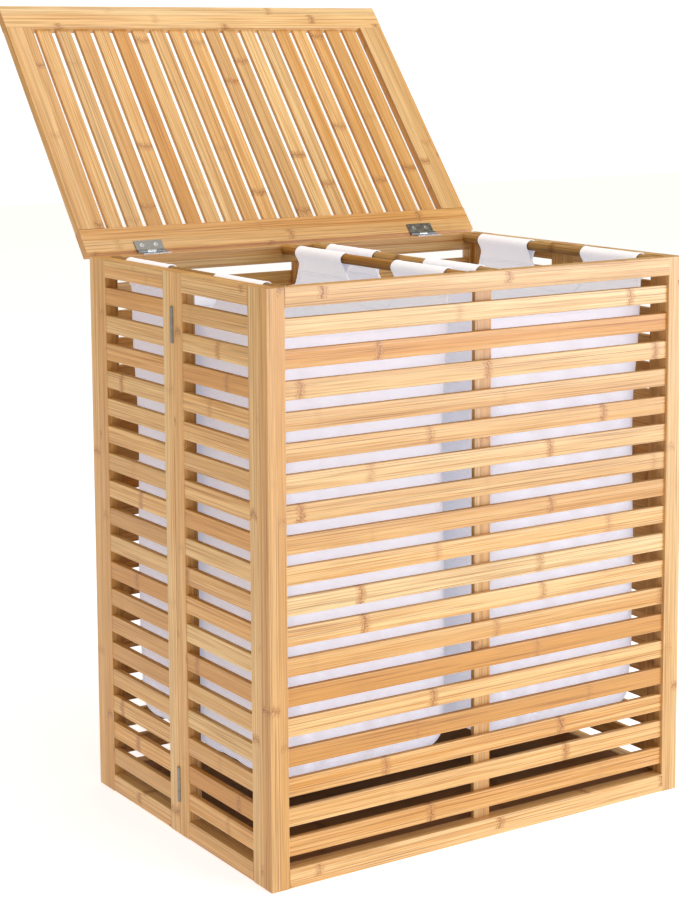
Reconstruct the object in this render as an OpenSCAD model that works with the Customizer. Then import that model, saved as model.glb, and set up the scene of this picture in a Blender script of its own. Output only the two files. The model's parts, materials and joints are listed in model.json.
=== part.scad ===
// Two-compartment laundry hamper: slatted frame with fold-in sides,
// slatted lid on two butt hinges, two lift-out liners on rods.
// Millimetres, +Z up. The origin is on the floor, under the middle of the
// front panel's bottom rail; the front faces -Y. The lid is drawn open.

/* [Overall size] */
// Width across the front
body_w = 560; // [450:5:700]
// Depth from the front face to the back face
body_d = 400; // [330:5:520]
// Height of the frame, without the lid
body_h = 635; // [520:5:800]

/* [Panels] */
// Thickness of every panel of the frame
panel_t = 17; // [14:0.5:22]
// Width of the front and back stiles
stile_w = 22; // [18:1:32]
// Width of the stiles of the folding sides
side_stile_w = 21; // [18:1:28]
// Height of the top and bottom rails
rail_h = 21; // [18:1:32]
// Width of the mullions behind the slats
mullion_w = 22; // [14:1:40]
// Flat cut on the long edges of every bar
edge_ease = 0.8; // [0.3:0.1:1.5]
// Gap at each joint between two folding panels
fold_gap = 0.6; // [0.3:0.1:1.5]

/* [Slats] */
// Slats in each panel
slat_count = 18; // [8:1:20]
// Height of a slat
slat_h = 20; // [12:0.5:24]
// Thickness of a slat
slat_t = 7; // [5:0.5:9]
// Depth of the front and back slats behind the outer face
slat_set = 3.5; // [2:0.5:6]
// Depth of the folding sides' slats behind the outer face
side_slat_set = 0.8; // [0.4:0.1:4]

/* [Lid] */
// Length of the lid from its hinged edge to its free edge
lid_len = 375; // [300:5:395]
// Thickness of the lid's frame
lid_t = 12; // [10:0.5:18]
// Width of the lid's stiles
lid_stile_w = 35; // [25:1:50]
// Width of the lid's rails
lid_rail_w = 35; // [28:1:50]
// Slats in the lid
lid_slat_count = 18; // [8:1:20]
// Width of a lid slat
lid_slat_w = 20; // [12:0.5:22]
// Thickness of a lid slat
lid_slat_t = 6; // [4:0.5:8]
// Depth of the lid's slats above its underside
lid_slat_set = 4.5; // [1:0.5:5]
// Angle from shut to open
lid_open = 129; // [95:1:170]

/* [Hinges] */
// Thickness of a hinge leaf
leaf_t = 1.2; // [0.8:0.1:2]
// Gap between the two leaves of a shut hinge
leaf_gap = 0.4; // [0.2:0.1:1]
// Radius of a knuckle
knuckle_r = 2.4; // [2:0.1:4]
// Radius of a hinge pin
pin_r = 1.2; // [0.8:0.1:1.6]
// Gap around a pin in its knuckles
pin_clear = 0.05; // [0.02:0.01:0.1]
// Gap between neighbouring knuckles, and around a let-in hinge
knuckle_gap = 0.3; // [0.2:0.1:0.8]
// Length of a side hinge
side_hinge_len = 40; // [30:1:60]
// Width of a side hinge's leaf
side_leaf_w = 13; // [10:0.5:13]
// Height of a side hinge's middle above the floor, and below the top
side_hinge_end = 58; // [45:1:120]
// Length of a lid hinge
lid_hinge_len = 37; // [30:1:50]
// Width of a lid hinge's leaf
lid_leaf_w = 16; // [12:0.5:16]
// Distance of a lid hinge's middle from the side of the frame
lid_hinge_end = 83; // [60:1:110]
// Radius of a hinge screw's shank
screw_r = 1.4; // [1:0.1:1.6]
// Radius of a hinge screw's countersunk head
screw_head_r = 2.6; // [2:0.1:3]
// Length of a hinge screw in the wood
screw_len = 9; // [6:0.5:9]

/* [Rods] */
// Diameter of a liner rod
rod_d = 12; // [8:0.5:14]
// Height of a rod's middle below the top of the frame
rod_drop = 5.5; // [5:0.5:12]
// Gap between a rod and its notch
rod_clear = 0.5; // [0.3:0.1:1.5]
// Depth of a rod notch in the rail
notch_depth = 8; // [5:0.5:11]
// Gap between an outer rod's side and the side panel
outer_rod_gap = 4; // [3:0.5:20]
// Distance between the two inner rods' middles
inner_rod_pitch = 44; // [30:1:80]

/* [Liners] */
// Thickness of the liner cloth with its lining
cloth_t = 1.4; // [1:0.1:2]
// Gap between the liner and the front and back panels
liner_end_gap = 28; // [15:1:50]
// Height of the liner's bottom above the floor
liner_base = 92; // [40:1:150]
// Depth of the liner's open edge below the frame's top
liner_edge_drop = 45; // [30:1:90]
// Radius of the liner's upright corners
liner_corner_r = 20; // [8:1:40]
// Length of each sleeve on a rod
sleeve_len = 110; // [60:5:120]
// Thickness of a sleeve
sleeve_t = 1; // [0.8:0.1:2]
// Gap between a rod and its sleeve
sleeve_clear = 0.3; // [0.2:0.1:0.8]

/* [Base] */
// Thickness of the base board
board_t = 4; // [3:0.5:9]
// Height of the board's top above the floor
board_top = 20; // [16:1:40]
// Gap around the base board
board_clear = 1; // [0.5:0.5:3]
// Width of a cleat
cleat_w = 10; // [8:1:20]
// Height of a cleat
cleat_h = 10; // [6:1:12]

/* [Hidden] */
$fn = 48;

left = -1;
right = 1;
front = -1;
back = 1;
over = 1;                                   // how far a cut runs past a face

side_x = body_w / 2;                        // outer face of a side panel
front_y = -panel_t / 2;                     // outer face of the front panel
back_y = front_y + body_d;                  // outer face of the back panel
mid_y = front_y + body_d / 2;               // the middle joint of the sides
inner_x = side_x - panel_t;                 // inner face of a side panel
inner_front_y = front_y + panel_t;          // inner face of the front panel
inner_back_y = back_y - panel_t;            // inner face of the back panel

slat_pitch = (body_h - rail_h) / (slat_count + 1);
slat_first_z = body_h - slat_pitch - slat_h;
slat_back = slat_set + slat_t;              // slat's back, from the outer face
side_slat_back = side_slat_set + slat_t;

half_front = [inner_front_y + fold_gap, mid_y - fold_gap / 2];
half_back = [mid_y + fold_gap / 2, inner_back_y - fold_gap];
corner_joint_y = [inner_front_y + fold_gap / 2, inner_back_y - fold_gap / 2];
side_hinge_z = [side_hinge_end, body_h - side_hinge_end];
lid_hinge_x = side_x - lid_hinge_end;

pin_back = knuckle_r + knuckle_gap;         // wood stays this far off the pin
pin_y = back_y + pin_back;
pin_z = body_h + leaf_t + leaf_gap / 2;
lid_under = pin_z + leaf_gap / 2 + leaf_t;
lid_free_y = back_y - lid_len;
lid_slat_gap = (body_w - 2 * lid_stile_w - lid_slat_count * lid_slat_w)
    / (lid_slat_count + 1);

rod_r = rod_d / 2;
rod_z = body_h - rod_drop;
outer_rod_x = inner_x - outer_rod_gap - rod_r;
inner_rod_x = inner_rod_pitch / 2;
rod_y = [inner_front_y - notch_depth + rod_clear,
         inner_back_y + notch_depth - rod_clear];

liner_y = [inner_front_y + liner_end_gap, inner_back_y - liner_end_gap];
liner_top = body_h - liner_edge_drop;
sleeve_r = rod_r + sleeve_clear + sleeve_t;

// An eased rectangle from corner a to corner b
module eased(a, b) {
    e = edge_ease;
    polygon([[a[0] + e, a[1]], [b[0] - e, a[1]], [b[0], a[1] + e],
             [b[0], b[1] - e], [b[0] - e, b[1]], [a[0] + e, b[1]],
             [a[0], b[1] - e], [a[0], a[1] + e]]);
}

// Bars with eased long edges; x, y and z are [low, high]
module bar_x(x, y, z) {
    translate([x[0], 0, 0]) rotate([90, 0, 90])
        linear_extrude(x[1] - x[0]) eased([y[0], z[0]], [y[1], z[1]]);
}

module bar_y(x, y, z) {
    translate([0, y[1], 0]) rotate([90, 0, 0])
        linear_extrude(y[1] - y[0]) eased([x[0], z[0]], [x[1], z[1]]);
}

module bar_z(x, y, z) {
    translate([0, 0, z[0]])
        linear_extrude(z[1] - z[0]) eased([x[0], y[0]], [x[1], y[1]]);
}

// The two numbers in rising order, for pieces that are mirrored by side
function span(a, b) = [min(a, b), max(a, b)];

// ---- Hinges ----
// A hinge's own frame: pin along Z, leaves side by side across X = 0,
// both running to +Y as in a shut hinge.

module pin_hole(len) {
    cylinder(h = len + 2 * over, r = pin_r + pin_clear, center = true);
}

module knuckle(z0, z1) {
    translate([0, 0, z0]) cylinder(h = z1 - z0, r = knuckle_r);
    translate([leaf_gap / 2, 0, z0]) cube([leaf_t, pin_back + over, z1 - z0]);
}

module screw_places(len, wid) {
    for (s = [-1, 1])
        translate([leaf_gap / 2, (pin_back + wid) / 2, s * len / 4])
            rotate([0, 90, 0]) children();
}

// One leaf, on the +X side; ends = true gives it the two end knuckles
module leaf(len, wid, ends) {
    mid = len / 6;
    difference() {
        union() {
            translate([leaf_gap / 2, pin_back, -len / 2])
                cube([leaf_t, wid - pin_back, len]);
            if (ends) {
                knuckle(mid + knuckle_gap / 2, len / 2);
                knuckle(-len / 2, -mid - knuckle_gap / 2);
            } else
                knuckle(-mid + knuckle_gap / 2, mid - knuckle_gap / 2);
        }
        pin_hole(len);
        screw_places(len, wid) screw(pin_clear);
    }
}

module screw(grow) {
    cylinder(h = leaf_t, r1 = screw_head_r + grow, r2 = screw_r + grow);
    cylinder(h = leaf_t + screw_len + grow, r = screw_r + grow);
}

// The room that a let-in hinge needs in the wood on both sides of its joint
module hinge_pocket() {
    room = knuckle_gap / 2;
    len = side_hinge_len + 2 * room;
    deep = leaf_gap / 2 + leaf_t;
    translate([-deep, 0, -len / 2]) cube([2 * deep, side_leaf_w + room, len]);
    cylinder(h = len, r = pin_back, center = true);
    for (s = [0, 1]) mirror([s, 0, 0])
        screw_places(side_hinge_len, side_leaf_w) screw(2 * pin_clear);
}

module corner_hinges(side, end) {
    y = corner_joint_y[end == front ? 0 : 1];
    for (z = side_hinge_z)
        translate([side * inner_x, y, z]) rotate(-side * 90) children();
}

module fold_hinges(side) {
    for (z = side_hinge_z)
        translate([side * side_x, mid_y, z]) rotate(side * 90) children();
}

module all_corner_hinges() {
    for (side = [left, right], end = [front, back])
        corner_hinges(side, end) children();
}

module all_fold_hinges() {
    for (side = [left, right]) fold_hinges(side) children();
}

module both_leaves() {
    leaf(side_hinge_len, side_leaf_w, true);
    mirror([1, 0, 0]) leaf(side_hinge_len, side_leaf_w, false);
}

module side_screws() {
    for (s = [0, 1]) mirror([s, 0, 0])
        screw_places(side_hinge_len, side_leaf_w) screw(0);
}

module pin(len) {
    cylinder(h = len, r = pin_r, center = true);
}

// Lid hinges: local Z along +X, local Y to the front, local X upwards
module lid_hinges() {
    for (side = [left, right])
        translate([side * lid_hinge_x, pin_y, pin_z])
            rotate(a = 180, v = [1, 0, 1]) children();
}

// Turns what is drawn shut about the lid's pins, to the open place
module opened() {
    translate([0, pin_y, pin_z]) rotate([-lid_open, 0, 0])
        translate([0, -pin_y, -pin_z]) children();
}

// ---- Front and back panels; end = front or back ----

function outer_y(end) = end == front ? front_y : back_y;
function panel_y(end) = span(outer_y(end), outer_y(end) - end * panel_t);
function slat_y(end) =
    span(outer_y(end) - end * slat_set, outer_y(end) - end * slat_back);
function post_y(end) =
    span(outer_y(end) - end * slat_back, outer_y(end) - end * panel_t);

rail_x = [stile_w - side_x, side_x - stile_w];
top_z = [body_h - rail_h, body_h];
bottom_z = [0, rail_h];

// The rods drop into these from above; an outer one also takes the stile's edge
module rod_notches() {
    r = rod_r + rod_clear;
    for (x = [-outer_rod_x, -inner_rod_x, inner_rod_x, outer_rod_x])
        translate([x, 0, rod_z]) {
            y0 = inner_front_y - notch_depth;
            y1 = inner_back_y + notch_depth;
            translate([0, y0, 0]) rotate([-90, 0, 0])
                cylinder(h = y1 - y0, r = r);
            translate([-r, y0, 0]) cube([2 * r, y1 - y0, rod_drop + over]);
        }
}

module end_stile(side, end) {
    difference() {
        bar_z(span(side * side_x, side * (side_x - stile_w)),
              panel_y(end), [0, body_h]);
        corner_hinges(side, end) hinge_pocket();
        rod_notches();
    }
}

module end_top_rail(end) {
    difference() {
        bar_x(rail_x, panel_y(end), top_z);
        rod_notches();
        if (end == back)
            lid_hinges() mirror([1, 0, 0])
                screw_places(lid_hinge_len, lid_leaf_w) screw(2 * pin_clear);
    }
}

module end_bottom_rail(end) {
    bar_x(rail_x, panel_y(end), bottom_z);
}

module end_mullion(end) {
    bar_z([-mullion_w / 2, mullion_w / 2], post_y(end),
          [rail_h, body_h - rail_h]);
}

module end_slats(end) {
    for (i = [0:slat_count - 1]) {
        z = slat_first_z - i * slat_pitch;
        bar_x(rail_x, slat_y(end), [z, z + slat_h]);
    }
}

// ---- Half panels of the folding sides; y = half_front or half_back ----

function half(end) = end == front ? half_front : half_back;
function corner_y(end) = end == front ? half_front[0] : half_back[1];
function fold_y(end) = end == front ? half_front[1] : half_back[0];
function side_x_span(side) = span(side * side_x, side * inner_x);
function side_slat_x(side) =
    span(side * (side_x - side_slat_set), side * (side_x - side_slat_back));
function side_rail_y(end) =
    [half(end)[0] + side_stile_w, half(end)[1] - side_stile_w];

module corner_stile(side, end) {
    y = corner_y(end);
    difference() {
        bar_z(side_x_span(side), span(y, y - end * side_stile_w), [0, body_h]);
        corner_hinges(side, end) hinge_pocket();
    }
}

module fold_stile(side, end) {
    y = fold_y(end);
    difference() {
        bar_z(side_x_span(side), span(y, y + end * side_stile_w), [0, body_h]);
        fold_hinges(side) hinge_pocket();
    }
}

module side_rail(side, end, z) {
    bar_y(side_x_span(side), side_rail_y(end), z);
}

module side_slats(side, end) {
    for (i = [0:slat_count - 1]) {
        z = slat_first_z - i * slat_pitch;
        bar_y(side_slat_x(side), side_rail_y(end), [z, z + slat_h]);
    }
}

// ---- Lid, drawn shut and then opened ----

lid_z = [lid_under, lid_under + lid_t];
lid_slat_z = [lid_under + lid_slat_set, lid_under + lid_slat_set + lid_slat_t];
lid_inner_y = [lid_free_y + lid_rail_w, back_y - lid_rail_w];

module lid_stile(side) {
    opened() bar_y(span(side * side_x, side * (side_x - lid_stile_w)),
                   lid_inner_y, lid_z);
}

module lid_rail(end) {
    y = end == front ? lid_free_y : back_y;
    opened() difference() {
        bar_x([-side_x, side_x], span(y, y - end * lid_rail_w), lid_z);
        if (end == back)
            lid_hinges() screw_places(lid_hinge_len, lid_leaf_w)
                screw(2 * pin_clear);
    }
}

module lid_slat_row() {
    opened() for (i = [0:lid_slat_count - 1]) {
        x = lid_stile_w - side_x + lid_slat_gap
            + i * (lid_slat_w + lid_slat_gap);
        bar_y([x, x + lid_slat_w], lid_inner_y, lid_slat_z);
    }
}

// ---- Base ----

module board() {
    translate([board_clear - inner_x, inner_front_y + board_clear,
               board_top - board_t])
        cube([2 * (inner_x - board_clear),
              inner_back_y - inner_front_y - 2 * board_clear, board_t]);
}

module cleats() {
    z = [board_top - board_t - cleat_h, board_top - board_t];
    x = [board_clear - inner_x, inner_x - board_clear];
    bar_x(x, [inner_front_y, inner_front_y + cleat_w], z);
    bar_x(x, [inner_back_y - cleat_w, inner_back_y], z);
}

// ---- Liners ----

module rod(x) {
    translate([x, rod_y[0], rod_z]) rotate([-90, 0, 0])
        cylinder(h = rod_y[1] - rod_y[0], r = rod_r);
}

// A rectangle with round corners, grown by g
module round_rect(x, y, r, g) {
    translate([x[0] - g, y[0] + r]) square([x[1] - x[0] + 2 * g,
                                            y[1] - y[0] - 2 * r]);
    translate([x[0] + r, y[0] - g]) square([x[1] - x[0] - 2 * r,
                                            y[1] - y[0] + 2 * g]);
    for (cx = [x[0] + r, x[1] - r], cy = [y[0] + r, y[1] - r])
        translate([cx, cy]) circle(r = r + g);
}

module sleeve(x, y) {
    translate([x, y, rod_z]) rotate([-90, 0, 0])
        cylinder(h = sleeve_len, r = sleeve_r);
    translate([x - cloth_t / 2, y, liner_top - over])
        cube([cloth_t, sleeve_len, rod_z - liner_top]);
}

module rod_bore(x) {
    translate([x, rod_y[0], rod_z]) rotate([-90, 0, 0])
        cylinder(h = rod_y[1] - rod_y[0], r = rod_r + sleeve_clear);
}

module liner(side) {
    x = span(side * inner_rod_x, side * outer_rod_x);
    g = cloth_t / 2;
    difference() {
        union() {
            difference() {
                translate([0, 0, liner_base])
                    linear_extrude(liner_top - liner_base)
                        round_rect(x, liner_y, liner_corner_r, g);
                translate([0, 0, liner_base + cloth_t])
                    linear_extrude(liner_top - liner_base)
                        round_rect(x, liner_y, liner_corner_r, -g);
            }
            for (rx = x, y = [liner_y[0], liner_y[1] - sleeve_len])
                sleeve(rx, y);
        }
        for (rx = x) rod_bore(rx);
    }
}

// ---- Nodes ----

module front_left_stile() { color("burlywood") end_stile(left, front); }
module front_right_stile() { color("burlywood") end_stile(right, front); }
module front_top_rail() { color("burlywood") end_top_rail(front); }
module front_bottom_rail() { color("burlywood") end_bottom_rail(front); }
module front_mullion() { color("tan") end_mullion(front); }
module front_slats() { color("wheat") end_slats(front); }
module back_left_stile() { color("burlywood") end_stile(left, back); }
module back_right_stile() { color("burlywood") end_stile(right, back); }
module back_top_rail() { color("burlywood") end_top_rail(back); }
module back_bottom_rail() { color("burlywood") end_bottom_rail(back); }
module back_mullion() { color("tan") end_mullion(back); }
module back_slats() { color("wheat") end_slats(back); }

module left_front_corner_stile() { color("tan") corner_stile(left, front); }
module left_front_fold_stile() { color("tan") fold_stile(left, front); }
module left_front_top_rail() { color("tan") side_rail(left, front, top_z); }
module left_front_bottom_rail() { color("tan") side_rail(left, front, bottom_z); }
module left_front_slats() { color("wheat") side_slats(left, front); }
module left_back_corner_stile() { color("tan") corner_stile(left, back); }
module left_back_fold_stile() { color("tan") fold_stile(left, back); }
module left_back_top_rail() { color("tan") side_rail(left, back, top_z); }
module left_back_bottom_rail() { color("tan") side_rail(left, back, bottom_z); }
module left_back_slats() { color("wheat") side_slats(left, back); }
module right_front_corner_stile() { color("tan") corner_stile(right, front); }
module right_front_fold_stile() { color("tan") fold_stile(right, front); }
module right_front_top_rail() { color("tan") side_rail(right, front, top_z); }
module right_front_bottom_rail() { color("tan") side_rail(right, front, bottom_z); }
module right_front_slats() { color("wheat") side_slats(right, front); }
module right_back_corner_stile() { color("tan") corner_stile(right, back); }
module right_back_fold_stile() { color("tan") fold_stile(right, back); }
module right_back_top_rail() { color("tan") side_rail(right, back, top_z); }
module right_back_bottom_rail() { color("tan") side_rail(right, back, bottom_z); }
module right_back_slats() { color("wheat") side_slats(right, back); }

module lid_left_stile() { color("burlywood") lid_stile(left); }
module lid_right_stile() { color("burlywood") lid_stile(right); }
module lid_front_rail() { color("burlywood") lid_rail(front); }
module lid_rear_rail() { color("burlywood") lid_rail(back); }
module lid_slats() { color("wheat") lid_slat_row(); }

module base_board() { color("peru") board(); }
module base_cleats() { color("tan") cleats(); }
module left_liner_bag() { color("white") liner(left); }
module right_liner_bag() { color("white") liner(right); }
module left_outer_rod() { color("peru") rod(-outer_rod_x); }
module left_inner_rod() { color("peru") rod(-inner_rod_x); }
module right_inner_rod() { color("peru") rod(inner_rod_x); }
module right_outer_rod() { color("peru") rod(outer_rod_x); }

module lid_hinge_lid_leaves() {
    color("dimgray") opened() lid_hinges()
        leaf(lid_hinge_len, lid_leaf_w, true);
}
module lid_hinge_frame_leaves() {
    color("silver") lid_hinges() mirror([1, 0, 0])
        leaf(lid_hinge_len, lid_leaf_w, false);
}
module lid_hinge_pins() { color("silver") lid_hinges() pin(lid_hinge_len); }
module lid_leaf_screws() {
    color("silver") opened() lid_hinges()
        screw_places(lid_hinge_len, lid_leaf_w) screw(0);
}
module frame_leaf_screws() {
    color("silver") lid_hinges() mirror([1, 0, 0])
        screw_places(lid_hinge_len, lid_leaf_w) screw(0);
}
module corner_hinge_leaves() { color("silver") all_corner_hinges() both_leaves(); }
module corner_hinge_pins() { color("silver") all_corner_hinges() pin(side_hinge_len); }
module fold_hinge_leaves() { color("silver") all_fold_hinges() both_leaves(); }
module fold_hinge_pins() { color("silver") all_fold_hinges() pin(side_hinge_len); }
module side_hinge_screws() {
    color("silver") {
        all_corner_hinges() side_screws();
        all_fold_hinges() side_screws();
    }
}

front_left_stile();
front_right_stile();
front_top_rail();
front_bottom_rail();
front_mullion();
front_slats();
back_left_stile();
back_right_stile();
back_top_rail();
back_bottom_rail();
back_mullion();
back_slats();
left_front_corner_stile();
left_front_fold_stile();
left_front_top_rail();
left_front_bottom_rail();
left_front_slats();
left_back_corner_stile();
left_back_fold_stile();
left_back_top_rail();
left_back_bottom_rail();
left_back_slats();
right_front_corner_stile();
right_front_fold_stile();
right_front_top_rail();
right_front_bottom_rail();
right_front_slats();
right_back_corner_stile();
right_back_fold_stile();
right_back_top_rail();
right_back_bottom_rail();
right_back_slats();
lid_left_stile();
lid_right_stile();
lid_front_rail();
lid_rear_rail();
lid_slats();
base_board();
base_cleats();
left_liner_bag();
right_liner_bag();
left_outer_rod();
left_inner_rod();
right_inner_rod();
right_outer_rod();
lid_hinge_lid_leaves();
lid_hinge_frame_leaves();
lid_hinge_pins();
lid_leaf_screws();
frame_leaf_screws();
corner_hinge_leaves();
corner_hinge_pins();
fold_hinge_leaves();
fold_hinge_pins();
side_hinge_screws();
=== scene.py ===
import json
import math

import bmesh
import bpy
import numpy as np
from mathutils import Matrix, Vector


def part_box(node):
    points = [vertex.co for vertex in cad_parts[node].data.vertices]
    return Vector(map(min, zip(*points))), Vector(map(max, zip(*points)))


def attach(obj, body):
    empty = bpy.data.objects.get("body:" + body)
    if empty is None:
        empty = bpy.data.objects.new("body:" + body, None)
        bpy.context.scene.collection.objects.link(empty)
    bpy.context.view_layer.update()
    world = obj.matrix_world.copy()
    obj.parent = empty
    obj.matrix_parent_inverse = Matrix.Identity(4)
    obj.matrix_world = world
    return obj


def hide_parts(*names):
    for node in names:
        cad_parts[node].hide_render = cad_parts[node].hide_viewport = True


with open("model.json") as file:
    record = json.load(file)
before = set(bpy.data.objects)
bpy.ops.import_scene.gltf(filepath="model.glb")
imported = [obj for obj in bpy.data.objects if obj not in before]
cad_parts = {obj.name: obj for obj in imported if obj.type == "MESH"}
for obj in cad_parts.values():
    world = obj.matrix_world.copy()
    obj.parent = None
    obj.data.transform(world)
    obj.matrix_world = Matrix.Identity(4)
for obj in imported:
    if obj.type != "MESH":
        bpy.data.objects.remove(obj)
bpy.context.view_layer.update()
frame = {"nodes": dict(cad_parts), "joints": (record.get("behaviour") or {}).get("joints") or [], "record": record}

# ---- The frame's bars: stiles, rails, mullions and slats ----
# Planed bamboo bars with eased edges, glued up from strips a finger wide and
# finished in clear satin lacquer. Rails butt between full-height stiles, and the
# slats are let in behind the outer face. Every bar is cut from another board.

WELD = 1e-5                     # corners closer than this are one corner, m
FLAT = math.radians(0.5)        # faces that turn less than this are one face
CREASE = math.radians(50)       # an edge that turns more than this stays sharp
FRAME_STRIP = 0.0135            # width of a glued strip in a bar, m
NODE_PITCH = 0.24               # length of cane between two nodes, m
SQUARE = 0.9                    # a face whose normal has this much of an axis is square to it
ONE_STRIP = (0.05, 0.9)         # start and width of the strip count of a bar of one strip
CANES = 4000                    # different canes to draw from
CANE_STEP = 7                   # strip numbers set aside for one bar
CANE_SHIFT = (40, 3, 3)         # room in which a bar's grain is placed at random, m

# How often each noise changes in a metre, along the bar and twice across it, and
# its detail. Streaks lie about 8 mm apart, bundles of fibres 2.5 mm and single
# fibres 1 mm, each coarser than the real one, so that they show.
GRAIN_NOISES = (
    ((1.6, 120.0, 120.0), 3.0),      # streaks
    ((5.0, 420.0, 420.0), 3.0),      # bundles of fibres
    ((4.0, 760.0, 760.0), 2.0),      # thin dark lines
    ((14.0, 1000.0, 1000.0), 2.0),   # single fibres
    ((60.0, 450.0, 450.0), 2.0),     # ragged edge of a node's band
    ((190.0, 330.0, 330.0), 1.0),    # wandering lines inside the band
)

record = frame["record"]
body_of = {n: b for b, nodes in record["behaviour"]["bodies"].items() for n in nodes}
lid_joint = next(j for j in frame["joints"] if j["name"] == "lid_hinge")
lid_pin = np.array(lid_joint["pos_m"])
lid_turn = math.radians(lid_joint["range_deg"][1])
random = np.random.default_rng(11)


def linear(code):
    """The linear colour of an sRGB hex code, by the sRGB transfer curve."""
    c = np.array([int(code[i:i + 2], 16) for i in (0, 2, 4)]) / 255
    rgb = np.where(c <= 0.04045, c / 12.92, ((c + 0.055) / 1.055) ** 2.4)
    return (*rgb.tolist(), 1.0)


def turned(points, angle, centre=lid_pin):
    """Points turned about the lid's pin line, which runs along X."""
    c, s = math.cos(angle), math.sin(angle)
    spin = np.array([[1, 0, 0], [0, c, -s], [0, s, c]])
    return (points - centre) @ spin.T + centre


def add(tree, kind, inputs=None, out=0, **settings):
    """Adds a shader node and gives one of its outputs. Settings are the node's
    properties, and inputs maps a socket to a value or to the output that feeds it."""
    node = tree.nodes.new("ShaderNode" + kind)
    for name, value in settings.items():
        setattr(node, name, value)
    for key, value in (inputs or {}).items():
        if isinstance(value, bpy.types.NodeSocket):
            tree.links.new(value, node.inputs[key])
        else:
            node.inputs[key].default_value = value
    return node.outputs[out]


def new_material(name):
    """A new material with its node tree and its shader."""
    material = bpy.data.materials.new(name)
    material.use_nodes = True
    tree = material.node_tree
    return material, tree, tree.nodes["Principled BSDF"]


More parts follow.
